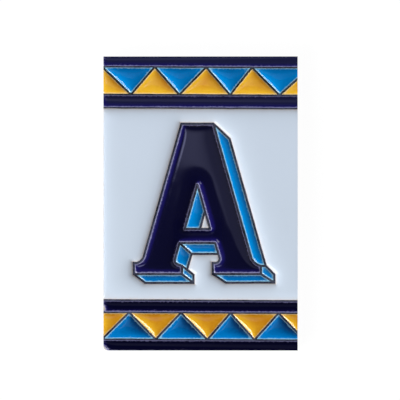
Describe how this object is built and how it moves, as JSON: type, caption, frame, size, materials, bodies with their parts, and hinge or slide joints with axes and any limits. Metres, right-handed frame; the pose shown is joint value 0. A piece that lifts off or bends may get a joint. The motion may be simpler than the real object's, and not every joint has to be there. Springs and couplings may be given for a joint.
{
  "type": "ceramic letter tile",
  "caption": "Flat rectangular ceramic tile with a shaded capital letter in raised glaze between zigzag borders, set on a wall in a row to spell a house name.",
  "frame": {"origin": "middle of the tile's back, on the plane of the lands between its keying grooves", "axes": "+Z out of the glazed face, +Y to the top of the letter, +X to the letter's right; the tile lies on its back"},
  "size_m": [0.073, 0.1106, 0.007],
  "materials": {
    "glazed_tile": "gloss"
  },
  "bodies": {
    "root": {"letter_tile": "glazed_tile"}
  },
  "joints": []
}
